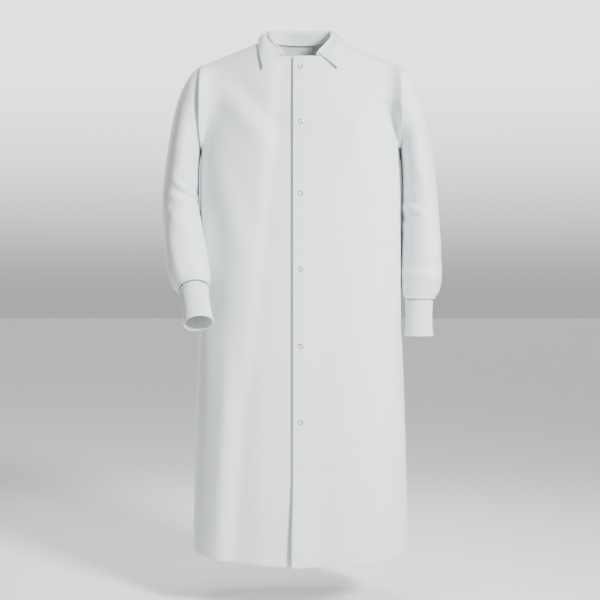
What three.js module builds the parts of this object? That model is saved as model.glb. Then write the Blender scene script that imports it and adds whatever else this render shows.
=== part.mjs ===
// A knee-length snap-front lab coat with a turned-down collar and knit cuffs, in the shape it has when worn.
// Millimetres, +Z up. The wearer faces -Y, so the wearer's left is +X. The origin is the middle of the neck
// opening, at the height of the seam that joins the collar to the back.
import * as THREE from 'three';

// Cloth and clearances
const CLOTH = 0.9;              // one layer of cloth, as a solid
const INTERLINING = 0.3;        // the stiffener between two layers
const SEAM = 0.6;               // half the gap between two pieces sewn edge to edge
const LAYER_GAP = 0.4;          // air between two layers that are sewn together

// Body
const SHOULDER_HALF = 212;      // centre line to the plane of the armhole
const SHOULDER_Z = -60;         // top of the armhole
const SIDE_EASE = 2;            // the side beside the hanging sleeve lies this far inside the armhole plane
const PRESS_TOP_Z = -310;       // the bent right sleeve presses the side in from here down
const RIGHT_PRESS = 26;
const HEM_FLARE = 20;           // how much further out the side is at the hem than beside the sleeve
const CUFF_CLEAR_Z = -630;      // below this the body may widen past the sleeves
const HEM_Z = -1106;            // lowest point of the hem, at centre front and back
const HEM_RISE = 12;            // how much higher the hem is at the side seams
const ARMHOLE_R = 90;           // the armhole is a circle, so a sleeve can turn in it
const FRONT_CHEST = 118;        // depth of the front at the chest
const FRONT_CHEST_DROP = 190;   // how far below the shoulder line the chest is
const FRONT_HEM = 136;
const BACK_CHEST = 112;
const BACK_CHEST_DROP = 170;
const BACK_HEM = 132;
const WAIST_HOLLOW = 10;

// Neck
const NECK_HALF = 72;           // neck end of the shoulder seam
const NECK_Z = -3;
const NECK_FRONT_HALF = 31;     // half width of the neckline between the collar ends
const NECK_FRONT_Z = -54;

// Front opening
const LAP = 15;                 // how far each front passes the centre line
const FOLD_TOP_X = 44;          // the line that an open front folds along, at the neck and at the hem
const FOLD_HEM_X = 150;
const FOLD_HALF = 16;           // half width of the strip that bends there
const FACING_WIDTH = 42;
const LAP_SPARE = 1.1;          // free depth between the two fronts where they are snapped together

// Collar
const STAND_BACK = 30;
const ROLL_R = 4.5;
const COLLAR_LIFT = 5;          // leaf of the collar above the shoulder
const COLLAR_STEP = 1.15;
const SEAM_INSET = 5;           // the collar seam lies this far inside the cut edge of the neck
const SEAM_LIFT = 3;

// Sleeves
const SLEEVE_GAP = 1.6;         // armhole plane to the sleeve's own edge
const ELBOW_FROM = 0.485;       // share of the sleeve's length where the bending strip starts and ends
const ELBOW_TO = 0.6;
const RIGHT_BEND_AXIS = new THREE.Vector3(0.94, 0.34, 0);
const RIGHT_BEND = 28;          // degrees that the right sleeve is bent at rest
const RIGHT_LEAN = 14;          // and leans this far forward at the elbow
const RIGHT_EXTRA = 12;         // the right sleeve is pulled down this much further
const CUFF_LENGTH = 79;
const CUFF_HALF_X = 29;
const CUFF_HALF_Y = 34;
const CUFF_WALL = 2;

// Snap fasteners
const SNAP_Z = [-79.5, -195, -342, -498, -656, -811];
const SNAP_R = 5.4;
const SNAP_HOLE_R = 3.5;
const STUD_R = 1.8;
const SOCKET_HOLE_R = 2.3;
const SOCKET_DEEP = 1.3;
const STUD_PLATE = 0.9;
const SNAP_GAP = 0.5;
const SNAP_CAP = 1.1;
const SNAP_SIDES = 10;

const COLOURS = { cloth: '#dde3e4', inner: '#ccd3d4', knit: '#d6dcdd', metal: '#b9bec2', stiff: '#eceeee' };

// The middle of a cloth layer to the middle of the interlining on it, and the depth from the upper front to
// the under one, which is what the facing, the socket and the stud's plate take up.
const LAYER_STEP = (CLOTH + INTERLINING) / 2 + LAYER_GAP;
const UNDERLAP = 2 * LAYER_STEP + CLOTH + 2 * SNAP_GAP + SOCKET_DEEP + STUD_PLATE + LAP_SPARE;

const SIDE_HALF = SHOULDER_HALF - SIDE_EASE;
const HEM_HALF = SIDE_HALF + HEM_FLARE;

const group = new THREE.Group();
const clamp = (v) => Math.min(1, Math.max(0, v));
const mix = (a, b, t) => a + (b - a) * t;
const smooth = (from, to, v) => {
  const t = clamp((v - from) / (to - from));
  return t * t * (3 - 2 * t);
};
const evenly = (from, to, steps) => Array.from({ length: steps + 1 }, (_, i) => mix(from, to, i / steps));

function addMesh(name, colour, positions, indices) {
  let volume = 0;
  const [a, b, c] = [0, 1, 2].map(() => new THREE.Vector3());
  for (let i = 0; i < indices.length; i += 3) {
    a.fromArray(positions, 3 * indices[i]);
    b.fromArray(positions, 3 * indices[i + 1]);
    c.fromArray(positions, 3 * indices[i + 2]);
    volume += a.dot(b.cross(c));
  }
  if (volume < 0) indices.reverse();
  const geometry = new THREE.BufferGeometry();
  geometry.setAttribute('position', new THREE.Float32BufferAttribute(positions, 3));
  geometry.setIndex(indices);
  const metal = colour === 'metal';
  const material = new THREE.MeshStandardMaterial({
    color: COLOURS[colour],
    roughness: metal ? 0.35 : 0.85,
    metalness: metal ? 0.9 : 0,
  });
  const mesh = new THREE.Mesh(geometry, material);
  mesh.name = name;
  group.add(mesh);
}

// A closed solid of the given thickness about a surface point(u, v). A round one joins its last column to its first.
function addSheet(name, colour, point, us, vs, { thickness = CLOTH, offset = 0, round = false } = {}) {
  const positions = [];
  const indices = [];
  const step = 1e-3;
  const along = (u, v) => {
    const u1 = round ? u + step : Math.min(u + step, us.at(-1));
    const u0 = round ? u - step : Math.max(u - step, us[0]);
    const v1 = Math.min(v + step, vs.at(-1));
    const v0 = Math.max(v - step, vs[0]);
    const du = point(u1, v).sub(point(u0, v));
    const dv = point(u, v1).sub(point(u, v0));
    return du.cross(dv).normalize();
  };
  for (const side of [1, -1]) {
    for (const v of vs) {
      for (const u of us) {
        const p = point(u, v).addScaledVector(along(u, v), offset + (side * thickness) / 2);
        positions.push(p.x, p.y, p.z);
      }
    }
  }
  const columns = us.length;
  const rows = vs.length;
  const layer = columns * rows;
  const quad = (p, q, r, s) => indices.push(p, q, r, p, r, s);
  const lastColumn = round ? columns : columns - 1;
  for (let j = 0; j < rows - 1; j += 1) {
    for (let i = 0; i < lastColumn; i += 1) {
      const p = j * columns + i;
      const q = j * columns + ((i + 1) % columns);
      quad(p, q, q + columns, p + columns);
      quad(layer + p, layer + p + columns, layer + q + columns, layer + q);
    }
  }
  for (let i = 0; i < lastColumn; i += 1) {
    const q = (i + 1) % columns;
    const base = (rows - 1) * columns;
    quad(i, layer + i, layer + q, q);
    quad(base + i, base + q, layer + base + q, layer + base + i);
  }
  for (let j = 0; j < rows - 1 && !round; j += 1) {
    const p = j * columns;
    const q = p + columns - 1;
    quad(p, p + columns, layer + p + columns, layer + p);
    quad(q, layer + q, layer + q + columns, q + columns);
  }
  addMesh(name, colour, positions, indices);
}

// ---- Body surface: y of the front and back over the coat's own x and z ----
const shoulderSlope = (NECK_Z - SHOULDER_Z) / (SHOULDER_HALF - NECK_HALF);
// Straight along the shoulder seam, and rounded over the neck, where there is no cloth.
function shoulderLine(x, isFront = true) {
  const beyond = Math.abs(x) - NECK_HALF;
  if (beyond > 0) return NECK_Z - shoulderSlope * beyond;
  const rise = (shoulderSlope * (NECK_HALF ** 2 - x ** 2)) / (2 * NECK_HALF);
  return NECK_Z + (isFront ? rise : 2 * rise);
}
const armholeDepth = (drop) => Math.sqrt(Math.max(0, 2 * ARMHOLE_R * drop - drop * drop));
const armholeBottom = SHOULDER_Z - 2 * ARMHOLE_R;

// Half width on the side that x is on. The bent right sleeve presses that side in.
function halfWidth(z, x) {
  const chest = mix(SHOULDER_HALF, SIDE_HALF, smooth(armholeBottom, armholeBottom - 50, z));
  const down = clamp((CUFF_CLEAR_Z - z) / (CUFF_CLEAR_Z - HEM_Z));
  const pressed = clamp((z - PRESS_TOP_Z) / (CUFF_CLEAR_Z - PRESS_TOP_Z));
  const press = x < 0 ? RIGHT_PRESS * Math.sin(Math.PI * pressed) : 0;
  return chest + (HEM_HALF - SIDE_HALF) * down ** 0.6 - press;
}

function depth(x, z, isFront) {
  const drop = Math.max(0, shoulderLine(x, isFront) - z);
  const chest = isFront ? FRONT_CHEST : BACK_CHEST;
  const chestDrop = isFront ? FRONT_CHEST_DROP : BACK_CHEST_DROP;
  const hem = isFront ? FRONT_HEM : BACK_HEM;
  const down = clamp((drop - chestDrop) / (-HEM_Z - chestDrop));
  const hollow = isFront ? 0 : WAIST_HOLLOW * Math.sin(Math.PI * clamp(down * 2));
  const arch = Math.sqrt(1 - (1 - clamp(drop / chestDrop)) ** 2);
  const middle = chest * arch + (hem - chest) * down - hollow;
  const u = clamp(Math.abs(x) / halfWidth(z, x));
  return SEAM + middle * (1 - u ** 3) ** (1 / 2.3) + armholeDepth(drop) * u ** 10;
}

const hemZ = (x) => HEM_Z + HEM_RISE * (x / HEM_HALF) ** 2;

function neckZ(x, isFront) {
  const from = isFront ? NECK_FRONT_HALF : NECK_HALF * 0.6;
  const low = isFront ? NECK_FRONT_Z : 0;
  const s = clamp((Math.abs(x) - from) / (NECK_HALF - from));
  return mix(low, NECK_Z, 1 - Math.sqrt(1 - s * s));
}

const topZ = (x, isFront) => (Math.abs(x) < NECK_HALF ? neckZ(x, isFront) : shoulderLine(x));
const foldX = (z) => mix(FOLD_TOP_X, FOLD_HEM_X, (z - NECK_FRONT_Z) / (HEM_Z - NECK_FRONT_Z));
const frontPoint = (x, z, back = 0) => new THREE.Vector3(x, -(depth(x, z, true) - back), z);
const backPoint = (x, z) => new THREE.Vector3(x, depth(x, z, false), z);

// A panel between two edges that depend on height: across(q, z) gives x, and v runs from the neck to the hem.
function panelPlace(across, isFront, q, v) {
  let z = NECK_FRONT_Z;
  let x = 0;
  for (let i = 0; i < 12; i += 1) {
    x = across(q, z);
    z = mix(topZ(x, isFront), hemZ(x), v);
  }
  return { x, z };
}

// Rows follow the armhole circle, then run down to the hem.
const coatLength = SHOULDER_Z - HEM_Z - HEM_RISE;
const armholeRows = evenly(0, Math.PI, 10).map((a) => (ARMHOLE_R * (1 - Math.cos(a))) / coatLength);
const bodyRows = [...armholeRows, ...evenly(armholeRows.at(-1), 1, 6).slice(1)];
const columnsTo = (steps) => evenly(0, 1, steps).map((t) => Math.sin((t * Math.PI) / 2));
const neckShare = (NECK_HALF - FOLD_TOP_X - FOLD_HALF) / (SHOULDER_HALF - FOLD_TOP_X - FOLD_HALF);

// Back, from side seam to side seam
const neckColumn = NECK_HALF / SHOULDER_HALF;
const backHalf = [...evenly(0, neckColumn, 3), ...columnsTo(6).map((t) => mix(neckColumn, 1, t)).slice(1)];
const backColumns = [...backHalf.slice(1).reverse().map((q) => -q), ...backHalf];
const backSurface = (q, v) => {
  const { x, z } = panelPlace((share, height) => share * halfWidth(height, share), false, q, v);
  return backPoint(x, z);
};
addSheet('back_panel', 'cloth', backSurface, backColumns, bodyRows);

const lapEdge = { left: LAP, right: LAP - 3 };
const sideColumns = [0, neckShare, ...columnsTo(6).map((t) => mix(neckShare, 1, t)).slice(1)];
for (const side of ['left', 'right']) {
  const s = side === 'left' ? 1 : -1;
  const under = side === 'right';
  const front = (across, set) => (q, v) => {
    const { x, z } = panelPlace(across, true, q, v);
    return frontPoint(s * x, z, under ? UNDERLAP * set(q) : 0);
  };
  const beyondFold = (z) => foldX(z) + FOLD_HALF + SEAM;
  const beforeFold = (z) => foldX(z) - FOLD_HALF - SEAM;
  const sidePanel = front((q, z) => mix(beyondFold(z), halfWidth(z, s), q), () => 0);
  const fold = front((q, z) => foldX(z) + q * (FOLD_HALF - SEAM), (q) => smooth(1, -1, q));
  const flap = front((q, z) => mix(-lapEdge[side], beforeFold(z), q), () => 1);
  const edge = front((q, z) => mix(-lapEdge[side], Math.min(FACING_WIDTH - LAP, beforeFold(z)), q), () => 1);
  addSheet(`${side}_front_side`, 'cloth', sidePanel, sideColumns, bodyRows);
  addSheet(`${side}_front_fold`, 'cloth', fold, [-1, 0, 1], bodyRows);
  addSheet(`${side}_front_flap`, 'cloth', flap, evenly(0, 1, 4), bodyRows);
  addSheet(`${side}_front_interlining`, 'stiff', edge, [0.03, 0.4, 0.97], bodyRows, {
    thickness: INTERLINING,
    offset: s * LAYER_STEP,
  });
  addSheet(`${side}_front_facing`, 'inner', edge, [0, 0.4, 1], bodyRows, { offset: s * 2 * LAYER_STEP });
}

// ---- Collar: a stand and a turned-down leaf, cut in one, in three layers ----
const onFront = (x, z, lift) => frontPoint(x, z).add(new THREE.Vector3(0, -lift, 0));
const onBack = (x, z, lift) => backPoint(x, z).add(new THREE.Vector3(0, lift, 0));
const inward = (p, by) => {
  const toAxis = new THREE.Vector3(-p.x, -p.y, 0).normalize();
  return p.clone().addScaledVector(toAxis, by);
};
const neckEdge = (x, isFront) => {
  const z = neckZ(x, isFront) + SEAM_LIFT;
  return inward(isFront ? frontPoint(x, z) : backPoint(x, z), SEAM_INSET);
};
// Where the front half of the collar turns up from the neckline, between its end and the shoulder seam
const neckTurn = mix(NECK_FRONT_HALF, NECK_HALF, 0.366);
const neckRise = mix(NECK_FRONT_HALF, NECK_HALF, 0.732);
const seamHalf = [
  onFront(NECK_FRONT_HALF + 2, NECK_FRONT_Z + SEAM_LIFT, 1),
  neckEdge(neckTurn, true),
  neckEdge(neckRise, true),
  new THREE.Vector3(NECK_HALF - SEAM_INSET, 0, NECK_Z + SEAM_LIFT),
  neckEdge(NECK_HALF - 8, false),
  neckEdge(NECK_HALF - 27, false),
  neckEdge(0, false),
];
const rollTurn = onFront(neckTurn, NECK_FRONT_Z + 25, 5);
const rollBack = seamHalf.at(-1).y - 3;
const rollHalf = [
  onFront(NECK_FRONT_HALF + 3, NECK_FRONT_Z + 9, 4),
  rollTurn,
  new THREE.Vector3(neckRise - 1, rollTurn.y * 0.79, STAND_BACK - 39),
  new THREE.Vector3(NECK_HALF - 7, -6, STAND_BACK - 9),
  new THREE.Vector3(NECK_HALF - 8, rollBack - 15, STAND_BACK - 2),
  new THREE.Vector3(NECK_HALF - 27, rollBack - 3, STAND_BACK),
  new THREE.Vector3(0, rollBack, STAND_BACK + 1),
];
const leafHalf = [
  onFront(NECK_HALF + 3, NECK_FRONT_Z - 25, COLLAR_LIFT + 3),
  onFront(NECK_HALF + 14, NECK_FRONT_Z + 6, COLLAR_LIFT + 1),
  onFront(NECK_HALF + 17, -24, COLLAR_LIFT + 1),
  new THREE.Vector3(NECK_HALF + 18, -2, shoulderLine(NECK_HALF + 18) + COLLAR_LIFT),
  onBack(NECK_HALF + 12, -17, COLLAR_LIFT),
  onBack(NECK_HALF - 14, -18, COLLAR_LIFT),
  onBack(0, -18, COLLAR_LIFT),
];
const wholeCurve = (half) => {
  const mirrored = half.slice(0, -1).reverse().map((p) => new THREE.Vector3(-p.x, p.y, p.z));
  return new THREE.CatmullRomCurve3([...half, ...mirrored]);
};
const seamCurve = wholeCurve(seamHalf);
const rollCurve = wholeCurve(rollHalf);
const leafCurve = wholeCurve(leafHalf);

function collarPoint(u, v) {
  const seam = seamCurve.getPoint(u);
  const roll = rollCurve.getPoint(u);
  const leaf = leafCurve.getPoint(u);
  const out = new THREE.Vector3(leaf.x - seam.x, leaf.y - seam.y, 0).normalize();
  const inside = roll.clone().addScaledVector(out, -ROLL_R).add(new THREE.Vector3(0, 0, -ROLL_R));
  const outside = roll.clone().addScaledVector(out, ROLL_R).add(new THREE.Vector3(0, 0, -ROLL_R));
  const middle = outside.clone().lerp(leaf, 0.5).addScaledVector(out, 2).add(new THREE.Vector3(0, -1, 5));
  const stand = seam.clone().lerp(inside, 0.5);
  return new THREE.CatmullRomCurve3([seam, stand, inside, roll, outside, middle, leaf]).getPoint(v);
}
const around = evenly(0, 1, 24);
const acrossCollar = [0, 2 / 6, 3 / 6, 4 / 6, 5 / 6, 1];
addSheet('upper_collar', 'cloth', collarPoint, around, acrossCollar, { offset: -COLLAR_STEP });
addSheet('collar_interlining', 'stiff', collarPoint, around, acrossCollar, { thickness: INTERLINING });
addSheet('under_collar', 'inner', collarPoint, around, acrossCollar, { offset: COLLAR_STEP });

// ---- Sleeves: rings that turn from the upright armhole to the level wrist ----
const armX = SHOULDER_HALF + SLEEVE_GAP;
const bottomZ = armholeBottom;
const flat = (x, z) => new THREE.Vector3(x, 0, z);
const outerLine = new THREE.CatmullRomCurve3([
  flat(armX, SHOULDER_Z),
  flat(armX + 19, SHOULDER_Z - 18),
  flat(armX + 46, SHOULDER_Z - 73),
  flat(armX + 66, SHOULDER_Z - 157),
  flat(armX + 79, SHOULDER_Z - 253),
  flat(armX + 86, SHOULDER_Z - 370),
  flat(armX + 86, SHOULDER_Z - 460),
  flat(armX + 76, SHOULDER_Z - 491),
  flat(armX + 69, SHOULDER_Z - 497),
]);
const innerLine = new THREE.CatmullRomCurve3([
  flat(armX, bottomZ),
  flat(armX + 0.6, bottomZ - 4),
  flat(armX + 1.4, bottomZ - 12),
  flat(armX + 2, bottomZ - 30),
  flat(armX + 2, bottomZ - 85),
  flat(armX + 2, bottomZ - 190),
  flat(armX + 2, bottomZ - 280),
  flat(armX + 6, bottomZ - 311),
  flat(armX + 9, bottomZ - 317),
]);
const halfDepthLine = [ARMHOLE_R, 89, 86, 82, 76, 68, 57, 42, CUFF_HALF_Y + 2];
const forwardLine = [0, 0, 0, 0, 0, 4, 10, 14, 15];
const along = (line, v) => {
  const at = clamp(v) * (line.length - 1);
  const i = Math.min(line.length - 2, Math.floor(at));
  return mix(line[i], line[i + 1], smooth(0, 1, at - i) * 0.3 + (at - i) * 0.7);
};
const elbow = outerLine.getPoint((ELBOW_FROM + ELBOW_TO) / 2)
  .add(innerLine.getPoint((ELBOW_FROM + ELBOW_TO) / 2))
  .multiplyScalar(0.5);
const bendAxis = RIGHT_BEND_AXIS.clone().normalize();

// The right sleeve is the left one mirrored, drawn down a little and bent at the elbow.
function pose(p, v, isRight) {
  if (!isRight) return p;
  const lower = smooth(ELBOW_FROM, ELBOW_TO, v);
  p.x *= -1;
  p.z -= RIGHT_EXTRA * lower;
  p.y -= RIGHT_LEAN * smooth(0, ELBOW_FROM, v);
  const pivot = new THREE.Vector3(-elbow.x, -RIGHT_LEAN, elbow.z);
  return p.sub(pivot).applyAxisAngle(bendAxis, -THREE.MathUtils.degToRad(RIGHT_BEND) * lower).add(pivot);
}

function sleevePoint(isRight) {
  return (u, v) => {
    const outer = outerLine.getPoint(v);
    const inner = innerLine.getPoint(v);
    const middle = outer.clone().add(inner).multiplyScalar(0.5);
    const reach = outer.clone().sub(middle).multiplyScalar(Math.cos(u * 2 * Math.PI));
    const p = middle.add(reach);
    p.y = -along(forwardLine, v) - along(halfDepthLine, v) * Math.sin(u * 2 * Math.PI);
    return pose(p, v, isRight);
  };
}

const wrist = outerLine.getPoint(1).add(innerLine.getPoint(1)).multiplyScalar(0.5);
function cuffPoint(isRight) {
  return (u, v) => {
    const waist = 1 - 0.06 * Math.sin(Math.PI * v);
    const a = u * 2 * Math.PI;
    const p = new THREE.Vector3(wrist.x + CUFF_HALF_X * waist * Math.cos(a), 0, wrist.z - 1.5 - CUFF_LENGTH * v);
    p.y = -forwardLine.at(-1) - CUFF_HALF_Y * waist * Math.sin(a);
    return pose(p, 1, isRight);
  };
}

const ringSteps = evenly(0, 1, 18).slice(0, -1);
const seamV = 0.004;
for (const side of ['left', 'right']) {
  const point = sleevePoint(side === 'right');
  const upper = [...evenly(0, 0.25, 5), ...evenly(0.25, ELBOW_FROM - seamV, 4).slice(1)];
  const strip = evenly(ELBOW_FROM + seamV, ELBOW_TO - seamV, 3);
  const lower = [...evenly(ELBOW_TO + seamV, 0.8, 3), 0.87, 0.94, 1];
  addSheet(`${side}_upper_sleeve`, 'cloth', point, ringSteps, upper, { round: true });
  addSheet(`${side}_elbow`, 'cloth', point, ringSteps, strip, { round: true });
  addSheet(`${side}_lower_sleeve`, 'cloth', point, ringSteps, lower, { round: true });
  addSheet(`${side}_cuff`, 'knit', cuffPoint(side === 'right'), ringSteps, evenly(0, 1, 4), {
    round: true,
    thickness: CUFF_WALL,
  });
}

// ---- Snap fasteners: cap ring and socket on the left front, stud and back ring on the right ----
function addTurned(name, profile, at, normal) {
  const lathe = new THREE.LatheGeometry(profile.map(([r, y]) => new THREE.Vector2(r, y)), SNAP_SIDES);
  const turn = new THREE.Quaternion().setFromUnitVectors(new THREE.Vector3(0, 1, 0), normal);
  lathe.applyQuaternion(turn);
  lathe.translate(at.x, at.y, at.z);
  addMesh(name, 'metal', Array.from(lathe.attributes.position.array), Array.from(lathe.index.array));
}
const hoop = (outer, inner, from, to) => [[inner, from], [outer, from], [outer, to], [inner, to], [inner, from]];

const facingBack = 2 * LAYER_STEP + CLOTH / 2;
const socketTop = -facingBack - SNAP_GAP;
const centreRows = bodyRows.map((v) => frontPoint(0, mix(NECK_FRONT_Z, HEM_Z, v)));
SNAP_Z.forEach((z, index) => {
  const below = centreRows.findIndex((p) => p.z < z);
  const slope = centreRows[below - 1].clone().sub(centreRows[below]);
  const at = centreRows[below].clone().addScaledVector(slope, (z - centreRows[below].z) / slope.z);
  const normal = new THREE.Vector3(1, 0, 0).cross(slope).normalize();
  const number = index + 1;
  const capFrom = CLOTH / 2 + SNAP_GAP;
  const underLap = UNDERLAP * Math.abs(normal.y);
  const studBase = CLOTH / 2 + SNAP_GAP - underLap;
  const backTo = -underLap - facingBack - SNAP_GAP;
  addTurned(`snap_cap_${number}`, hoop(SNAP_R, SNAP_HOLE_R, capFrom, capFrom + SNAP_CAP), at, normal);
  addTurned(`snap_socket_${number}`, hoop(SNAP_R - 0.4, SOCKET_HOLE_R, socketTop - SOCKET_DEEP, socketTop), at, normal);
  const stud = [
    [0, studBase], [SNAP_R - 0.4, studBase], [SNAP_R - 0.4, studBase + STUD_PLATE], [STUD_R, studBase + STUD_PLATE],
    [STUD_R, socketTop - 0.3], [0, socketTop - 0.3],
  ];
  addTurned(`snap_stud_${number}`, stud, at, normal);
  addTurned(`snap_back_ring_${number}`, hoop(SNAP_R, SNAP_HOLE_R, backTo - SNAP_CAP, backTo), at, normal);
});

export default group;
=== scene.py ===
import math

import bpy
import numpy as np
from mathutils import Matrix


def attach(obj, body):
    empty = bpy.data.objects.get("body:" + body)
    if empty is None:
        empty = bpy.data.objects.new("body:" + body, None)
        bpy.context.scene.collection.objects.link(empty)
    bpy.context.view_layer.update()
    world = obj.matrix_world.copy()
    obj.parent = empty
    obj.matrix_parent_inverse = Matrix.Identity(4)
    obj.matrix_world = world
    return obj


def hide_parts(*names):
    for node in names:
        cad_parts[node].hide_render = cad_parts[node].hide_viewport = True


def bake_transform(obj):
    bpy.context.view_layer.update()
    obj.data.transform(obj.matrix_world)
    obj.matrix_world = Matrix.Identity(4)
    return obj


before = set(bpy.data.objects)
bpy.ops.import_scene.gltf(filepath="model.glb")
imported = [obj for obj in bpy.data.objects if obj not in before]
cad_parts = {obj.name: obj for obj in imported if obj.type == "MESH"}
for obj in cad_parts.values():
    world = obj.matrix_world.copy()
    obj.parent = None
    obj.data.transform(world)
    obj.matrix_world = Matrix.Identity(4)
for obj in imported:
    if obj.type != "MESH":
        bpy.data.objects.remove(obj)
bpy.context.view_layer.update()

# ---- Back ----
# One width of smooth, tightly woven poly-cotton from the neck to the knee, with no seam down the middle.
# It is cut by a pattern, overlocked to the fronts at the sides and shoulders, and hemmed all round.
NECK_HALF, NECK_Z = 0.072, -0.003          # neck end of the shoulder seam
FRONT_NECK_HALF, FRONT_NECK_Z = 0.031, -0.054  # flat part of the front neckline
SHOULDER_HALF, SHOULDER_Z = 0.212, -0.060  # top of the armhole
SIDE_HALF, HEM_FLARE = 0.2146, 0.0154       # half width beside the sleeves, and what the hem adds to it
ARMHOLE_R = 0.090
ARMHOLE_BOTTOM = SHOULDER_Z - 2 * ARMHOLE_R
HEM_Z, HEM_RISE = -1.106, 0.018
CUFF_CLEAR_Z = -0.630
PRESS_TOP_Z, RIGHT_PRESS = -0.400, 0.005   # where the bent right sleeve presses the side in
FOREARM_HOLLOW = 0.030                     # and how deep it presses the front in
SHOULDER_SLOPE = (NECK_Z - SHOULDER_Z) / (SHOULDER_HALF - NECK_HALF)
FRONT_SHAPE = (0.118, 0.190, 0.136)        # depth at the chest, how far down that is, depth at the hem
BACK_SHAPE = (0.112, 0.170, 0.132)
WAIST_HOLLOW = 0.010
SEAM = 0.0003                              # half of what shows between two edges that are sewn together
CLOTH = 0.0006
HEM_TURN = 0.019                           # depth of the turned-up hem
SETTLE_STEPS = 14                          # passes for a row's heights and widths to agree

# Where each soft fold starts and ends in the plane of x and z, its width and its height.
FRONT_FOLDS = (
    ((-0.175, -0.115), (-0.07, -0.24), 0.022, 0.0066),
    ((0.165, -0.110), (0.10, -0.26), 0.022, 0.0064),
    ((-0.185, -0.27), (-0.12, -0.48), 0.026, 0.0045),
    ((0.180, -0.30), (0.135, -0.55), 0.026, 0.0042),
    ((-0.150, -0.70), (-0.175, -1.08), 0.018, 0.0055),
    ((0.160, -0.75), (0.175, -1.08), 0.016, 0.0040),
)
BACK_FOLD = ((-0.15, -0.2), (-0.05, -0.42), 0.03, 0.003)


def mix(a, b, t):
    return a + (b - a) * t


def smooth(start, end, v):
    t = np.clip((v - start) / (end - start), 0, 1)
    return t * t * (3 - 2 * t)


def shoulder_line(x, front):
    beyond = np.abs(x) - NECK_HALF
    rise = SHOULDER_SLOPE * (NECK_HALF ** 2 - x ** 2) / (2 * NECK_HALF)
    return NECK_Z + np.where(beyond > 0, -SHOULDER_SLOPE * beyond, rise if front else 2 * rise)


def half_width(z, x):
    chest = mix(SHOULDER_HALF, SIDE_HALF, smooth(ARMHOLE_BOTTOM, ARMHOLE_BOTTOM - 0.05, z))
    down = np.clip((CUFF_CLEAR_Z - z) / (CUFF_CLEAR_Z - HEM_Z), 0, 1)
    pressed = np.clip((z - PRESS_TOP_Z) / (CUFF_CLEAR_Z - PRESS_TOP_Z), 0, 1)
    press = np.where(x < 0, RIGHT_PRESS * np.sin(np.pi * pressed), 0)
    return chest + HEM_FLARE * down ** 0.6 - press


def ridge(x, z, a, b, width, height, trough=0.6):
    """A soft fold from a to b in the plane of x and z: a ridge with a shallow trough beside it."""
    run = np.subtract(b, a)
    length = math.hypot(*run)
    t = ((x - a[0]) * run[0] + (z - a[1]) * run[1]) / length ** 2
    aside = ((z - a[1]) * run[0] - (x - a[0]) * run[1]) / length
    fade = smooth(-0.25, 0.2, t) * smooth(1.25, 0.8, t)
    return height * fade * (np.exp(-(aside / width) ** 2) - trough * np.exp(-(aside / width - 1.8) ** 2))


def drape(x, z, front):
    """How far the cloth stands out of its plain shape, in broad folds that deepen towards the hem."""
    deep = smooth(-0.35, HEM_Z, z)
    if not front:
        folds = 0.0045 * deep * np.cos(x / 0.028 + 0.4) + 0.002 * smooth(-0.2, -0.5, z) * np.cos(x / 0.05)
        return folds + ridge(x, z, *BACK_FOLD)
    folds = 0.0028 * deep * np.cos(x / 0.030 + 1.1) + 0.0012 * deep * np.cos(x / 0.013)
    for fold in FRONT_FOLDS:
        folds += ridge(x, z, *fold)
    forearm = np.exp(-((x + 0.190) / 0.034) ** 2 - ((z + 0.50) / 0.13) ** 2)
    return folds - FOREARM_HOLLOW * forearm


def depth(x, z, front):
    chest, chest_drop, hem = FRONT_SHAPE if front else BACK_SHAPE
    drop = np.maximum(0, shoulder_line(x, front) - z)
    down = np.clip((drop - chest_drop) / (-HEM_Z - chest_drop), 0, 1)
    hollow = 0 if front else WAIST_HOLLOW * np.sin(np.pi * np.clip(2 * down, 0, 1))
    arch = np.sqrt(1 - (1 - np.clip(drop / chest_drop, 0, 1)) ** 2)
    u = np.clip(np.abs(x) / half_width(z, x), 0, 1)
    armhole = np.sqrt(np.maximum(0, 2 * ARMHOLE_R * drop - drop ** 2))
    reach = 10 + 30 * smooth(ARMHOLE_R, 2 * ARMHOLE_R, drop)
    plain = (chest * arch + (hem - chest) * down - hollow) * (1 - u ** 3) ** (1 / 2.3)
    plain = plain + armhole * u ** reach
    return SEAM + plain + drape(x, z, front) * (1 - u ** 6) * smooth(0.02, 0.09, drop)


def hem_z(x):
    return HEM_Z + HEM_RISE * (x / (SIDE_HALF + HEM_FLARE)) ** 2


def top_z(x, front):
    start, low = (FRONT_NECK_HALF, FRONT_NECK_Z) if front else (NECK_HALF * 0.6, 0)
    s = np.clip((np.abs(x) - start) / (NECK_HALF - start), 0, 1)
    neck = mix(low, NECK_Z, 1 - np.sqrt(1 - s * s))
    return np.where(np.abs(x) < NECK_HALF, neck, shoulder_line(x, front))


def body_grid(across, front, shares, rows):
    """Rows of points from the neck to the hem. across(share, z) gives x at each height."""
    q, v = np.meshgrid(shares, rows)
    z = np.full_like(q, FRONT_NECK_Z)
    for _ in range(SETTLE_STEPS):
        x = across(q, z)
        z = mix(top_z(x, front), hem_z(x), v)
    return x, z


COAT_LENGTH = SHOULDER_Z - HEM_Z - HEM_RISE
armhole_rows = ARMHOLE_R * (1 - np.cos(np.linspace(0, np.pi, 61))) / COAT_LENGTH
hem_rows = 1 - np.array([HEM_TURN + 0.0012, HEM_TURN - 0.0002, 0.014, 0.008, 0.003, 0.0008, 0]) / COAT_LENGTH
between_rows = np.linspace(armhole_rows[-1], hem_rows[0], 90)[1:]
body_rows = np.concatenate([armhole_rows, between_rows, hem_rows[1:]])


def surface_normals(grid, ring=False):
    if ring:
        du = np.roll(grid, -1, 1) - np.roll(grid, 1, 1)
    else:
        du = np.gradient(grid, axis=1)
    n = np.cross(du, np.gradient(grid, axis=0))
    return n / np.maximum(np.linalg.norm(n, axis=2, keepdims=True), 1e-12)


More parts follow.
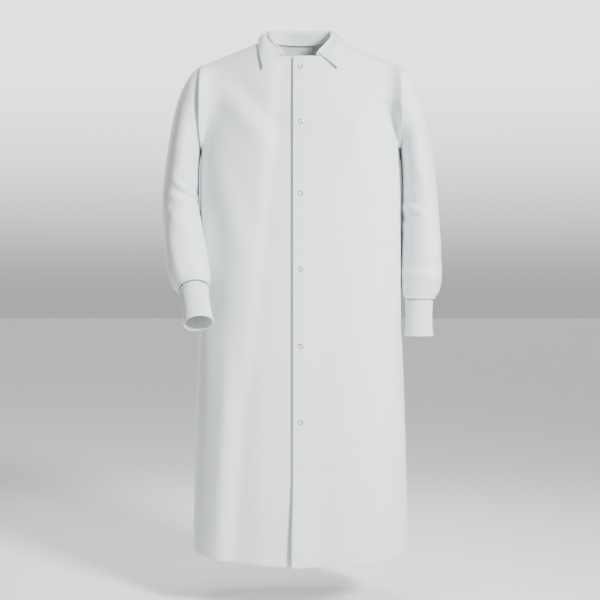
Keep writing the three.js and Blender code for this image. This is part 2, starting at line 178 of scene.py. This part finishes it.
def sew(name, grid, material, thickness=CLOTH, ring=False, offset=0.0):
    """Makes a cloth of real thickness about a grid of points, with its thread directions kept on it."""
    rows, columns = grid.shape[:2]
    normals = surface_normals(grid, ring)
    middle = grid + normals * np.broadcast_to(offset, grid.shape[:2])[..., None]
    points = np.concatenate([(middle + normals * side * thickness / 2).reshape(-1, 3) for side in (1, -1)])
    layer = rows * columns
    last = columns if ring else columns - 1
    p = (np.arange(rows - 1)[:, None] * columns + np.arange(last)).ravel()
    q = (np.arange(rows - 1)[:, None] * columns + (np.arange(last) + 1) % columns).ravel()
    faces = [np.stack([p, q, q + columns, p + columns], 1)]
    faces.append(np.stack([p, p + columns, q + columns, q], 1) + layer)
    i, j = np.arange(last), (np.arange(last) + 1) % columns
    base = (rows - 1) * columns
    faces.append(np.stack([i, i + layer, j + layer, j], 1))
    faces.append(np.stack([i, j, j + layer, i + layer], 1) + base)
    if not ring:
        k = np.arange(rows - 1) * columns
        faces.append(np.stack([k, k + columns, k + columns + layer, k + layer], 1))
        k = k + columns - 1
        faces.append(np.stack([k, k + layer, k + columns + layer, k + columns], 1))
    faces = np.concatenate(faces)
    a, b, c = (points[faces[:, n]] for n in range(3))
    if np.einsum("ij,ij->i", a, np.cross(b, c)).sum() < 0:
        faces = faces[:, ::-1]
    mesh = bpy.data.meshes.new(name)
    mesh.from_pydata(points.tolist(), [], faces.tolist())
    across = np.linalg.norm(np.diff(grid, axis=1, prepend=grid[:, :1]), axis=2).cumsum(1)
    along = np.linalg.norm(np.diff(grid, axis=0, prepend=grid[:1]), axis=2).cumsum(0)
    across = across - across[:, [columns // 2]]
    threads = np.stack([across, along, 0 * along], 2).reshape(-1, 3)
    threads = np.concatenate([threads, threads + 0.5]).astype(np.float32)
    mesh.attributes.new("threads", "FLOAT_VECTOR", "POINT").data.foreach_set("vector", threads.ravel())
    mesh.shade_smooth()
    mesh.materials.append(material)
    piece = bpy.data.objects.new(name, mesh)
    bpy.context.collection.objects.link(piece)
    return piece, normals


def new_material(name):
    material = bpy.data.materials.new(name)
    material.use_nodes = True
    nodes, links = material.node_tree.nodes, material.node_tree.links
    return material, nodes, links, nodes["Principled BSDF"]


def woven_cloth(name, light, dark, relief=0.00006):
    """Plain weave: fine uneven warp and weft threads, and slow changes of tone over the cloth."""
    material, nodes, links, shader = new_material(name)
    threads = nodes.new("ShaderNodeAttribute")
    threads.attribute_name = "threads"
    height = None
    for scale in ((2600, 90, 1), (90, 2600, 1)):
        stretch = nodes.new("ShaderNodeMapping")
        stretch.inputs["Scale"].default_value = scale
        links.new(threads.outputs["Vector"], stretch.inputs["Vector"])
        yarn = nodes.new("ShaderNodeTexNoise")
        yarn.inputs["Scale"].default_value = 1
        yarn.inputs["Detail"].default_value = 1
        links.new(stretch.outputs["Vector"], yarn.inputs["Vector"])
        if height is None:
            height = yarn.outputs["Fac"]
            continue
        both = nodes.new("ShaderNodeMath")
        both.operation = "ADD"
        links.new(height, both.inputs[0])
        links.new(yarn.outputs["Fac"], both.inputs[1])
        height = both.outputs[0]
    bump = nodes.new("ShaderNodeBump")
    bump.inputs["Distance"].default_value = relief
    bump.inputs["Strength"].default_value = 0.7
    links.new(height, bump.inputs["Height"])
    links.new(bump.outputs["Normal"], shader.inputs["Normal"])
    place = nodes.new("ShaderNodeNewGeometry")
    tone = nodes.new("ShaderNodeTexNoise")
    tone.inputs["Scale"].default_value = 9
    tone.inputs["Detail"].default_value = 3
    links.new(place.outputs["Position"], tone.inputs["Vector"])
    ramp = nodes.new("ShaderNodeValToRGB")
    ramp.color_ramp.elements[0].position, ramp.color_ramp.elements[1].position = 0.35, 0.65
    ramp.color_ramp.elements[0].color, ramp.color_ramp.elements[1].color = (*dark, 1), (*light, 1)
    links.new(tone.outputs["Fac"], ramp.inputs["Fac"])
    links.new(ramp.outputs["Color"], shader.inputs["Base Color"])
    shader.inputs["Roughness"].default_value = 0.82
    shader.inputs["Sheen Weight"].default_value = 0.12
    shader.inputs["Sheen Roughness"].default_value = 0.5
    shader.inputs["Specular IOR Level"].default_value = 0.3
    return material


coat_cloth = woven_cloth("pale_poplin", (0.735, 0.785, 0.795), (0.715, 0.765, 0.778))
thread_white, _, _, thread_shader = new_material("sewing_thread")
thread_shader.inputs["Base Color"].default_value = (0.80, 0.84, 0.85, 1)
thread_shader.inputs["Roughness"].default_value = 0.6
thread_shader.inputs["Sheen Weight"].default_value = 0.3


def stitch(name, path, normals, length=0.0026, gap=0.0007, radius=0.00026):
    """A row of lockstitches lying on the cloth along a path, each one a short rounded strand."""
    steps = np.linalg.norm(np.diff(path, axis=0), axis=1)
    at = np.concatenate([[0], steps.cumsum()])
    count = int(at[-1] // (length + gap))
    starts = np.arange(count) * (length + gap)
    stations = np.array([0, 0.22, 0.78, 1.0])
    where = starts[:, None] + stations * length
    centre = np.stack([np.interp(where, at, path[:, k]) for k in range(3)], -1)
    up = np.stack([np.interp(where, at, normals[:, k]) for k in range(3)], -1)
    ahead = centre[:, -1:] - centre[:, :1]
    ahead = ahead / np.linalg.norm(ahead, axis=2, keepdims=True)
    side = np.cross(ahead, up)
    thick = radius * np.array([0.35, 1, 1, 0.35])[None, :, None]
    centre = centre + up * radius * np.array([-0.2, 0.55, 0.55, -0.2])[None, :, None]
    angles = np.arange(5) * 2 * np.pi / 5
    ring = [centre + thick * (side * math.cos(a) + up * math.sin(a)) for a in angles]
    points = np.stack(ring, 2).reshape(-1, 3)
    faces = []
    for k in range(3):
        for n in range(5):
            m = (n + 1) % 5
            faces.append([k * 5 + n, k * 5 + m, k * 5 + 5 + m, k * 5 + 5 + n])
    ends = [[4, 3, 2, 1, 0], [15, 16, 17, 18, 19]]
    every = [[20 * s + k for k in face] for s in range(count) for face in faces + ends]
    mesh = bpy.data.meshes.new(name)
    mesh.from_pydata(points.tolist(), [], every)
    mesh.shade_smooth()
    mesh.materials.append(thread_white)
    piece = bpy.data.objects.new(name, mesh)
    bpy.context.collection.objects.link(piece)
    return piece


def turned_hem(grid, ring=False):
    """The hem is turned up twice, so it stands a little proud of the single cloth above it."""
    below = np.linalg.norm(grid - grid[-1:], axis=2)
    proud = 0.0005 * smooth(HEM_TURN + 0.001, HEM_TURN - 0.001, below)
    return grid + surface_normals(grid, ring) * proud[..., None]


half_shares = np.sin(np.linspace(0, np.pi / 2, 56))
back_shares = np.concatenate([-half_shares[:0:-1], half_shares])
x, z = body_grid(lambda q, h: q * half_width(h, q), False, back_shares, body_rows)
back_grid = turned_hem(np.stack([x, depth(x, z, False), z], 2))
back, normals = sew("back", back_grid, coat_cloth)
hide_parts("back_panel")
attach(back, "coat_body")
hem_row = len(body_rows) - len(hem_rows) + 1
inside = normals[hem_row] if normals[hem_row, 55, 1] > 0 else -normals[hem_row]
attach(stitch("back_hem_stitches", back_grid[hem_row] + inside * CLOTH / 2, inside), "coat_body")

# ---- Fronts ----
# Two fronts of the same cloth. The cloth turns round the front edge over a strip of stiffener and lies
# back on itself as the facing, which is stitched down. The left front laps over the right one.
LAP = {"left": 0.015, "right": 0.012}
FRONT_PARTS = ("side", "fold", "flap", "interlining", "facing")
FACING_WIDTH, FACING_BACK = 0.042, 0.002
UNDERLAP = 0.0072
FOLD_TOP_X, FOLD_HEM_X, FOLD_HALF = 0.044, 0.150, 0.016
OPENS_BELOW_Z = -0.91                       # the lap gapes a little from here to the hem
UNDER_GAPE, UPPER_GAPE, EDGE_SWING = 0.004, 0.006, 0.003  # in, out and aside at the hem


def fold_x(z):
    return mix(FOLD_TOP_X, FOLD_HEM_X, (z - FRONT_NECK_Z) / (HEM_Z - FRONT_NECK_Z))


turn = np.linspace(0, np.pi, 7)
facing_run = np.linspace(FACING_WIDTH, 0.002, 9)
front_run = np.concatenate([[0.0015, 0.004, 0.008], np.linspace(0.014, 0.09, 18)])
side_run = np.linspace(0, 1, 44)[1:]
backward = np.concatenate([np.full(9, FACING_BACK), (1 + np.cos(turn[1:-1])) * FACING_BACK / 2])
edge_out = np.concatenate([facing_run, -np.sin(turn[1:-1]) * FACING_BACK / 2 + 0.0005])
near_columns = np.concatenate([edge_out, front_run])
shares = np.arange(len(near_columns) + len(side_run))
for side, way in (("left", 1), ("right", -1)):
    lap = LAP[side]
    under = side == "right"

    def across(q, h):
        q = q.astype(int)
        limit = half_width(h, way)
        near = near_columns[np.minimum(q, len(near_columns) - 1)]
        t = np.sin(side_run[np.clip(q - len(near_columns), 0, len(side_run) - 1)] * np.pi / 2)
        start = front_run[-1] - lap
        return np.where(q < len(near_columns), near - lap, mix(start, limit, t))

    x, z = body_grid(across, True, shares, body_rows)
    backs = np.zeros(len(shares))
    backs[:len(backward)] = backward
    set_back = backs[None, :] * np.ones_like(x)
    near_edge = smooth(0.05, 0.0, x + lap) * smooth(OPENS_BELOW_Z, HEM_Z, z)
    if under:
        set_back = set_back + UNDERLAP * smooth(fold_x(z) + FOLD_HALF, fold_x(z) - FOLD_HALF, x)
        set_back = set_back + UNDER_GAPE * near_edge
    else:
        set_back = set_back - UPPER_GAPE * near_edge
    grid = np.stack([way * x, -(depth(way * x, z, True) - set_back), z], 2)
    grid[..., 0] -= EDGE_SWING * near_edge * (not under)
    front, normals = sew(f"front_{side}", turned_hem(grid), coat_cloth)
    outside = normals if (normals[60, -20, 1] < 0) else -normals
    surface = grid + outside * (CLOTH / 2 + 0.0001)
    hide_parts(*(f"{side}_front_{part}" for part in FRONT_PARTS))
    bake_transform(front)
    edge_column = len(edge_out) + 3
    edge_stitches = stitch(f"front_{side}_edge_stitches", surface[:, edge_column], outside[:, edge_column])
    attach(edge_stitches, f"{side}_front")
    hem_stitches = stitch(f"front_{side}_hem_stitches", surface[hem_row, len(edge_out):],
                          outside[hem_row, len(edge_out):])
    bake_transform(hem_stitches)

# ---- Collar ----
# A stand and a turned-down leaf cut in one. The upper and the under collar are sewn face to face, turned
# out over a stiffener and pressed, and the neck edge is sewn into the neckline.
ROLL_R, COLLAR_LIFT, COLLAR_STEP = 0.0036, 0.005, 0.0010
NECK_INSET = 0.0018
COLLAR_STITCH_IN = 0.006                    # from the collar edge to its row of stitches


def spline(points, t):
    """A smooth curve through points, evenly divided in t from 0 to 1 between them."""
    p = np.asarray(points, float)
    p = np.concatenate([[2 * p[0] - p[1]], p, [2 * p[-1] - p[-2]]])
    at = np.clip(t, 0, 1) * (len(p) - 3)
    i = np.minimum(at.astype(int), len(p) - 4)
    w = (at - i)[:, None]
    a, b, c, d = (p[i + k] for k in range(4))
    ab, bc, cd = (np.sqrt(np.linalg.norm(s - r, axis=1, keepdims=True))
                  for r, s in ((a, b), (b, c), (c, d)))
    leave = ((b - a) / ab - (c - a) / (ab + bc) + (c - b) / bc) * bc
    arrive = ((c - b) / bc - (d - b) / (bc + cd) + (d - c) / cd) * bc
    return b + w * (leave + w * (3 * (c - b) - 2 * leave - arrive + w * (2 * (b - c) + leave + arrive)))


def on_front(x, z, lift):
    return (x, -float(depth(x, z, True)) - lift, z)


def on_back(x, z, lift):
    return (x, float(depth(x, z, False)) + lift, z)


def neck_edge(x, front):
    z = float(top_z(x, front)) - 0.003
    y = float(depth(x, z, front)) * (-1 if front else 1)
    reach = math.hypot(x, y)
    return (x * (1 - NECK_INSET / reach), y * (1 - NECK_INSET / reach), z)


seam_half = [on_front(0.033, -0.051, 0.001), neck_edge(0.046, True), neck_edge(0.061, True),
             (0.070, 0, -0.006), neck_edge(0.064, False), neck_edge(0.045, False), neck_edge(0, False)]
roll_back = seam_half[-1][1] - 0.006
roll_turn = on_front(0.050, -0.028, 0.005)
roll_half = [on_front(0.036, -0.045, 0.004), roll_turn, (0.0635, roll_turn[1] * 0.76, -0.010),
             (0.0675, -0.006, 0.0145), (0.065, roll_back - 0.015, 0.0245),
             (0.045, roll_back - 0.003, 0.0280), (0, roll_back, 0.0285)]
leaf_half = [on_front(0.078, -0.0815, 0.009), on_front(0.086, -0.048, 0.006),
             on_front(0.089, -0.024, 0.006), (0.090, -0.002, float(shoulder_line(0.090, True)) + COLLAR_LIFT),
             on_back(0.084, -0.017, COLLAR_LIFT), on_back(0.058, -0.018, COLLAR_LIFT),
             on_back(0, -0.018, COLLAR_LIFT)]
collar_u = (1 - np.cos(np.linspace(0, np.pi, 161))) / 2
collar_v = np.concatenate([np.linspace(0, 0.94, 44), [0.96, 0.975, 0.988, 0.995, 1]])


def whole(half):
    return spline(half + [(-p[0], p[1], p[2]) for p in half[-2::-1]], collar_u)


collar_grid = np.zeros((len(collar_v), len(collar_u), 3))
for k, (seam, roll, leaf) in enumerate(zip(whole(seam_half), whole(roll_half), whole(leaf_half))):
    out = np.array([leaf[0] - seam[0], leaf[1] - seam[1], 0])
    out = out / np.linalg.norm(out)
    inner = roll - out * ROLL_R - (0, 0, ROLL_R)
    outer = roll + out * ROLL_R - (0, 0, ROLL_R)
    crown = float(smooth(0, 0.1, min(collar_u[k], 1 - collar_u[k])))
    middle = (outer + leaf) / 2 + out * 0.002 + np.array([0, -0.001, mix(-0.0015, 0.005, crown)])
    collar_grid[:, k] = spline([seam, (seam + inner) / 2, inner, roll, outer, middle, leaf], collar_v)

# The two layers come together at the sewn edges.
from_edge = np.minimum(np.linalg.norm(collar_grid - collar_grid[-1:], axis=2),
                       np.minimum(np.linalg.norm(collar_grid - collar_grid[:, :1], axis=2),
                                  np.linalg.norm(collar_grid - collar_grid[:, -1:], axis=2)))
stitch_dip = 0.0003 * np.exp(-((from_edge - COLLAR_STITCH_IN) / 0.0012) ** 2)
apart = mix(0.00032, COLLAR_STEP, smooth(0, 0.005, from_edge)) - stitch_dip
# The under collar, which lies inside the neck, gets a darker copy of the coat's cloth: painted shade.
painted_shade_cloth = woven_cloth("poplin_painted_shade", (0.66, 0.71, 0.722), (0.64, 0.69, 0.70))
for name, sign, material, slot, nodes in (
        ("collar_upper", -1, coat_cloth, "coat_cloth", ("upper_collar", "collar_interlining")),
        ("collar_under", 1, painted_shade_cloth, "facing_cloth", ("under_collar",))):
    collar, normals = sew(name, collar_grid, material, offset=sign * apart)
    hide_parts(*nodes)
    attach(collar, "coat_body")
    if sign < 0:
        leaf_row = int(np.argmin(np.abs(np.median(from_edge[30:], axis=1) - COLLAR_STITCH_IN))) + 30
        path = collar_grid[leaf_row] - normals[leaf_row] * (apart[leaf_row] + CLOTH / 2)[:, None]
        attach(stitch("collar_edge_stitches", path[4:-4], -normals[leaf_row][4:-4]), "coat_body")

# ---- Sleeves ----
# Long set-in sleeves of the coat's cloth, each a tube with one seam under the arm. The sleeve head is
# sewn into the armhole, the elbow creases where it bends, and the end is gathered into the cuff.
ARM_X = SHOULDER_HALF + 0.0004
OUTER_LINE = [(0, 0), (0.019, -0.018), (0.046, -0.073), (0.066, -0.157), (0.079, -0.253),
              (0.086, -0.370), (0.086, -0.460), (0.076, -0.491), (0.069, -0.497)]
INNER_LINE = [(0, 0), (0.0006, -0.004), (0.0014, -0.012), (0.002, -0.030), (0.002, -0.085),
              (0.002, -0.190), (0.002, -0.280), (0.006, -0.311), (0.009, -0.317)]
HALF_DEPTH = [ARMHOLE_R, 0.089, 0.086, 0.082, 0.076, 0.068, 0.057, 0.042, 0.036]
FORWARD = [0, 0, 0, 0, 0, 0.004, 0.010, 0.014, 0.015]
ELBOW_FROM, ELBOW_TO = 0.485, 0.6
RIGHT_AXIS = np.array([0.94, 0.34, 0]) / math.hypot(0.94, 0.34)
RIGHT_BEND, RIGHT_LEAN, RIGHT_EXTRA = math.radians(28), 0.014, 0.012
SLEEVE_X = SHOULDER_HALF + 0.0016
GATHERS = 26


def along_sleeve(values, v):
    at = v * (len(values) - 1)
    i = np.minimum(at.astype(int), len(values) - 2)
    t = at - i
    line = np.array(values)
    return mix(line[i], line[i + 1], 0.3 * t * t * (3 - 2 * t) + 0.7 * t)


def seam_line(points, top, v):
    return spline([(SLEEVE_X + x, 0, top + z) for x, z in points], np.atleast_1d(v))


def middle_of_sleeve(v):
    outer, inner = seam_line(OUTER_LINE, SHOULDER_Z, v)[0], seam_line(INNER_LINE, ARMHOLE_BOTTOM, v)[0]
    return (outer + inner) / 2


elbow_v = (ELBOW_FROM + ELBOW_TO) / 2
elbow = middle_of_sleeve(elbow_v)


def bend_right(points, v):
    """Mirrors a left sleeve's points and bends the forearm forward, as the right sleeve hangs."""
    lower = smooth(ELBOW_FROM, ELBOW_TO, v)
    pivot = np.array([-elbow[0], -RIGHT_LEAN, elbow[2]])
    p = points * (-1, 1, 1)
    p[..., 2] -= RIGHT_EXTRA * lower
    p[..., 1] -= RIGHT_LEAN * smooth(0, ELBOW_FROM, v)
    p = p - pivot
    angle = (-RIGHT_BEND * lower)[..., None]
    spun = p * np.cos(angle) + np.cross(RIGHT_AXIS, p) * np.sin(angle)
    spun += RIGHT_AXIS * (p @ RIGHT_AXIS)[..., None] * (1 - np.cos(angle))
    return spun + pivot


sleeve_v = np.concatenate([np.linspace(0, 0.9, 110), np.linspace(0.9, 1, 26)[1:]])
sleeve_u = np.linspace(0, 1, 129)[:-1]
creases = {
    "left": [((0.218, -0.362), (0.268, -0.386), 0.007, 0.0064),
             ((0.220, -0.404), (0.262, -0.392), 0.008, 0.0050),
             ((0.220, -0.505), (0.285, -0.512), 0.010, 0.0036),
             ((0.235, -0.250), (0.262, -0.330), 0.014, 0.0032),
             ((0.292, -0.440), (0.262, -0.500), 0.012, 0.0020)],
    "right": [((-0.256, -0.318), (-0.210, -0.352), 0.0055, 0.0085),
              ((-0.264, -0.348), (-0.212, -0.364), 0.006, 0.0075),
              ((-0.268, -0.384), (-0.222, -0.372), 0.008, 0.0060),
              ((-0.238, -0.236), (-0.262, -0.320), 0.014, 0.0036),
              ((-0.270, -0.430), (-0.240, -0.520), 0.012, 0.0022)],
}
for side, way in (("left", 1), ("right", -1)):
    u, v = np.meshgrid(sleeve_u, sleeve_v)
    outer = seam_line(OUTER_LINE, SHOULDER_Z, sleeve_v)[:, None]
    inner = seam_line(INNER_LINE, ARMHOLE_BOTTOM, sleeve_v)[:, None]
    angle = u * 2 * np.pi
    grid = (outer + inner) / 2 + (outer - inner) / 2 * np.cos(angle)[..., None]
    grid[..., 1] = -along_sleeve(FORWARD, v) - along_sleeve(HALF_DEPTH, v) * np.sin(angle)
    grid[..., 0] -= (SLEEVE_X - ARM_X) * smooth(0.02, 0, v)
    outward = surface_normals(grid, True)
    outward *= np.sign((outward * (grid - grid.mean(1, keepdims=True))).sum(2, keepdims=True).mean())
    end = smooth(0.93, 0.985, v)
    pinch = 0.0012 * end * np.cos(angle * GATHERS + 1.3 * np.sin(3 * angle))
    blouse = 0.0035 * np.exp(-((v - 0.952) / 0.02) ** 2)
    soft = 0.0016 * np.sin(2 * angle + 9 * v) * smooth(0.1, 0.3, v) * smooth(0.95, 0.8, v)
    grid = grid + outward * (pinch + blouse + soft)[..., None]
    if side == "right":
        grid = bend_right(grid, v)
    outward = surface_normals(grid, True)
    outward *= np.sign((outward * (grid - grid.mean(1, keepdims=True))).sum(2, keepdims=True).mean())
    in_front = smooth(0.15, -0.45, outward[..., 1])
    raised = sum(ridge(grid[..., 0], grid[..., 2], *crease) for crease in creases[side])
    grid = grid + outward * (raised * in_front * smooth(0.06, 0.2, v))[..., None]
    sleeve, _ = sew(f"sleeve_{side}", grid, coat_cloth, ring=True)
    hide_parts(*(f"{side}_{part}" for part in ("upper_sleeve", "elbow", "lower_sleeve")))
    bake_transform(sleeve)

# ---- Cuffs ----
# Rib-knit cuffs, knitted as a tube, folded double and sewn to the gathered end of the sleeve. They
# draw in a little at the wrist, and the ribs run along the arm.
CUFF_LENGTH, CUFF_HALF_X, CUFF_HALF_Y = 0.079, 0.029, 0.034
CUFF_RIBS, RIB_HEIGHT = 62, 0.00042
knit, nodes, links, shader = new_material("rib_knit")
threads = nodes.new("ShaderNodeAttribute")
threads.attribute_name = "threads"
loops = nodes.new("ShaderNodeTexWave")
loops.bands_direction = "Y"
loops.inputs["Scale"].default_value = 210
loops.inputs["Distortion"].default_value = 2.2
loops.inputs["Detail"].default_value = 1
bump = nodes.new("ShaderNodeBump")
bump.inputs["Distance"].default_value = 0.00012
links.new(threads.outputs["Vector"], loops.inputs["Vector"])
links.new(loops.outputs["Fac"], bump.inputs["Height"])
links.new(bump.outputs["Normal"], shader.inputs["Normal"])
# The knit's colour follows the same loops as its bump and is darker in their hollows: painted shade.
loop_shade = nodes.new("ShaderNodeValToRGB")
loop_shade.color_ramp.elements[0].color = (0.66, 0.71, 0.72, 1)
loop_shade.color_ramp.elements[1].color = (0.72, 0.77, 0.78, 1)
links.new(loops.outputs["Fac"], loop_shade.inputs["Fac"])
links.new(loop_shade.outputs["Color"], shader.inputs["Base Color"])
shader.inputs["Roughness"].default_value = 0.9
shader.inputs["Sheen Weight"].default_value = 0.25
shader.inputs["Specular IOR Level"].default_value = 0.2

wrist = middle_of_sleeve(1.0)
cuff_u = np.linspace(0, 1, CUFF_RIBS * 6 + 1)[:-1]
outside_v = np.linspace(-0.03, 0.985, 34)
fold_over = np.linspace(0, np.pi, 9)
cuff_v = np.concatenate([outside_v, 0.985 + 0.015 * np.sin(fold_over[1:-1]), outside_v[::-1]])
cuff_in = np.concatenate([np.zeros(34), (1 - np.cos(fold_over[1:-1])) / 2, np.ones(34)]) * 0.0019
for side, way in (("left", 1), ("right", -1)):
    u, v = np.meshgrid(cuff_u, cuff_v)
    inward = np.broadcast_to(cuff_in[:, None], u.shape)
    angle = u * 2 * np.pi
    waist = 1 - 0.06 * np.sin(np.pi * np.clip(v, 0, 1)) + 0.03 * smooth(0.75, 1, v)
    rib = RIB_HEIGHT * np.cos(angle * CUFF_RIBS) * (1 - 0.5 * smooth(0.93, 1, v))
    tuck = 0.0025 * smooth(0.03, -0.03, v)
    grid = np.stack([wrist[0] + (CUFF_HALF_X * waist + 0.0006 + rib - inward - tuck) * np.cos(angle),
                     -FORWARD[-1] - (CUFF_HALF_Y * waist + 0.0006 + rib - inward - tuck) * np.sin(angle),
                     wrist[2] - 0.0015 - CUFF_LENGTH * v], 2)
    if side == "right":
        grid = bend_right(grid, np.ones_like(v))
    cuff, _ = sew(f"cuff_{side}", grid, knit, thickness=0.0008, ring=True)
    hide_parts(f"{side}_cuff")
    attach(cuff, f"{side}_lower_sleeve")

# ---- Snap fasteners ----
# Six open-ring snaps of plated brass. A prong ring shows on the left front and is clinched through the
# cloth into the socket behind it, and the stud and its back ring are clinched the same way on the right.
SNAP_HEIGHTS = (-0.0795, -0.195, -0.342, -0.498, -0.656, -0.811)
RING_R, HOLE_R, RING_HIGH = 0.0054, 0.0033, 0.0012
metal, nodes, links, shader = new_material("plated_brass")
shader.inputs["Base Color"].default_value = (0.42, 0.43, 0.44, 1)
shader.inputs["Metallic"].default_value = 1
brushed = nodes.new("ShaderNodeTexNoise")
brushed.inputs["Scale"].default_value = 2200
rough = nodes.new("ShaderNodeMapRange")
rough.inputs["To Min"].default_value, rough.inputs["To Max"].default_value = 0.22, 0.4
place = nodes.new("ShaderNodeNewGeometry")
links.new(place.outputs["Position"], brushed.inputs["Vector"])
links.new(brushed.outputs["Fac"], rough.inputs["Value"])
links.new(rough.outputs["Result"], shader.inputs["Roughness"])


def turned(name, profile, at, normal, segments=40):
    """A small part turned from a closed outline of (radius, height) about the snap's own axis."""
    profile = np.array(profile)
    across = np.array([1.0, 0, 0])
    up = np.cross(normal, across)
    angles = np.linspace(0, 2 * np.pi, segments, endpoint=False)
    spoke = np.cos(angles)[:, None] * across + np.sin(angles)[:, None] * up
    points = at + profile[None, :, :1] * spoke[:, None] + profile[None, :, 1:] * normal
    count = len(profile)
    faces = []
    for i in range(segments):
        for j in range(count):
            k, m = (i + 1) % segments, (j + 1) % count
            faces.append([i * count + j, i * count + m, k * count + m, k * count + j])
    mesh = bpy.data.meshes.new(name)
    mesh.from_pydata(points.reshape(-1, 3).tolist(), [], faces)
    mesh.validate()
    mesh.shade_smooth()
    mesh.materials.append(metal)
    piece = bpy.data.objects.new(name, mesh)
    bpy.context.collection.objects.link(piece)
    return piece


def hoop(outer, inner, low, high):
    """The section of a ring with a rounded top and a flat foot."""
    a = np.linspace(0, np.pi, 13)
    half = (outer - inner) / 2
    crown = [(inner + half + half * math.cos(t), low + (high - low) * (0.25 + 0.75 * math.sin(t))) for t in a]
    return crown + [(inner, low), (outer, low)]


for number, height in enumerate(SNAP_HEIGHTS, 1):
    here, above = (np.array([0, -float(depth(0.0, z, True)), z]) for z in (height, height + 0.002))
    normal = np.cross([1, 0, 0], above - here)
    normal = normal / np.linalg.norm(normal)
    behind = UNDERLAP * abs(normal[1])
    cloth_face = CLOTH / 2
    socket = -FACING_BACK * abs(normal[1]) - cloth_face
    ring_foot = -behind - FACING_BACK * abs(normal[1]) - cloth_face
    stud_foot = -behind + cloth_face
    outlines = {
        "cap": (hoop(RING_R, HOLE_R, cloth_face, cloth_face + RING_HIGH), "left_front"),
        "socket": ([(r, socket - 0.0018 + t * 0.0018) for r, t in ((0.0025, 0.1), (0.0031, 0), (0.0046, 0),
                    (0.0050, 0.25), (0.0050, 1), (0.0023, 1), (0.0023, 0.5))], "left_front"),
        "stud": ([(0.00001, stud_foot), (0.0050, stud_foot), (0.0050, stud_foot + 0.0006),
                  (0.0022, stud_foot + 0.0010), (0.0017, stud_foot + 0.0018), (0.0019, socket - 0.0006),
                  (0.0012, socket - 0.0002), (0.00001, socket - 0.0001)], "right_front"),
        "back_ring": (hoop(RING_R, HOLE_R, ring_foot, ring_foot - RING_HIGH), "right_front"),
    }
    for part, (outline, body) in outlines.items():
        piece = turned(f"{part}_{number}", outline, here, normal)
        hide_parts(f"snap_{part}_{number}")
        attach(piece, body)

# ---- Studio ----
# A wide pale floor under the hanging coat. The main soft light stands in front on the right, with weak
# ones opposite and behind and an even one overhead, and a pale glow behind fades down to the floor.
FLOOR_DROP, FLOOR_HALF = 0.10, 40
floor_z = HEM_Z - FLOOR_DROP
floor_mesh = bpy.data.meshes.new("floor")
corners = [(x * FLOOR_HALF, y * FLOOR_HALF, floor_z) for x, y in ((-1, -1), (1, -1), (1, 1), (-1, 1))]
floor_mesh.from_pydata(corners, [], [[0, 1, 2, 3]])
floor = bpy.data.objects.new("floor", floor_mesh)
bpy.context.collection.objects.link(floor)
paint, nodes, links, shader = new_material("floor_paint")
shader.inputs["Base Color"].default_value = (0.88, 0.88, 0.88, 1)
shader.inputs["Roughness"].default_value = 0.9
floor_mesh.materials.append(paint)


def soft_light(name, place, size, power, aim=(0, 0, -0.55)):
    light = bpy.data.lights.new(name, "AREA")
    light.shape = "DISK"
    light.size, light.energy = size, power
    light.spread = math.radians(70)
    lamp = bpy.data.objects.new(name, light)
    lamp.location = place
    direction = np.subtract(aim, place)
    lamp.rotation_euler = (math.atan2(math.hypot(direction[0], direction[1]), -direction[2]), 0,
                           math.atan2(-direction[0], direction[1]))
    bpy.context.collection.objects.link(lamp)


soft_light("key", (1.9, -2.6, 0.9), 0.8, 50)
soft_light("fill", (-2.4, -2.2, 0.2), 2.0, 2)
soft_light("back", (-1.6, 2.6, 1.0), 1.0, 15)
overhead = bpy.data.lights.new("overhead", "SUN")
overhead.energy, overhead.angle = 1.5, math.radians(30)
bpy.context.collection.objects.link(bpy.data.objects.new("overhead", overhead))
world = bpy.data.worlds.new("surround")
world.use_nodes = True
nodes, links = world.node_tree.nodes, world.node_tree.links
heading = nodes.new("ShaderNodeTexCoord")
split = nodes.new("ShaderNodeSeparateXYZ")
links.new(heading.outputs["Generated"], split.inputs["Vector"])
strength = nodes.new("ShaderNodeMath")
strength.operation = "MULTIPLY"
GLOW = (("Z", 0.0, 0.2, 0.5, 2.6), ("Y", 0.80, 0.94, 0.08, 1.0))  # heading, from, to, and strength at each
for n, (way, start, end, dim, bright) in enumerate(GLOW):
    band = nodes.new("ShaderNodeMapRange")
    band.interpolation_type = "SMOOTHSTEP"
    band.inputs["From Min"].default_value, band.inputs["From Max"].default_value = start, end
    band.inputs["To Min"].default_value, band.inputs["To Max"].default_value = dim, bright
    links.new(split.outputs[way], band.inputs["Value"])
    links.new(band.outputs["Result"], strength.inputs[n])
links.new(strength.outputs[0], nodes["Background"].inputs["Strength"])
nodes["Background"].inputs["Color"].default_value = (1, 1, 1, 1)
bpy.context.scene.world = world

camera_data = bpy.data.cameras.new("camera")
camera_data.lens = 72.6
camera_data.sensor_width = 36
camera = bpy.data.objects.new("camera", camera_data)
camera.location = (-0.0011, -2.6, -0.561)
camera.rotation_euler = (math.pi / 2, 0, 0)
bpy.context.collection.objects.link(camera)
bpy.context.scene.camera = camera

bpy.context.view_layer.update()
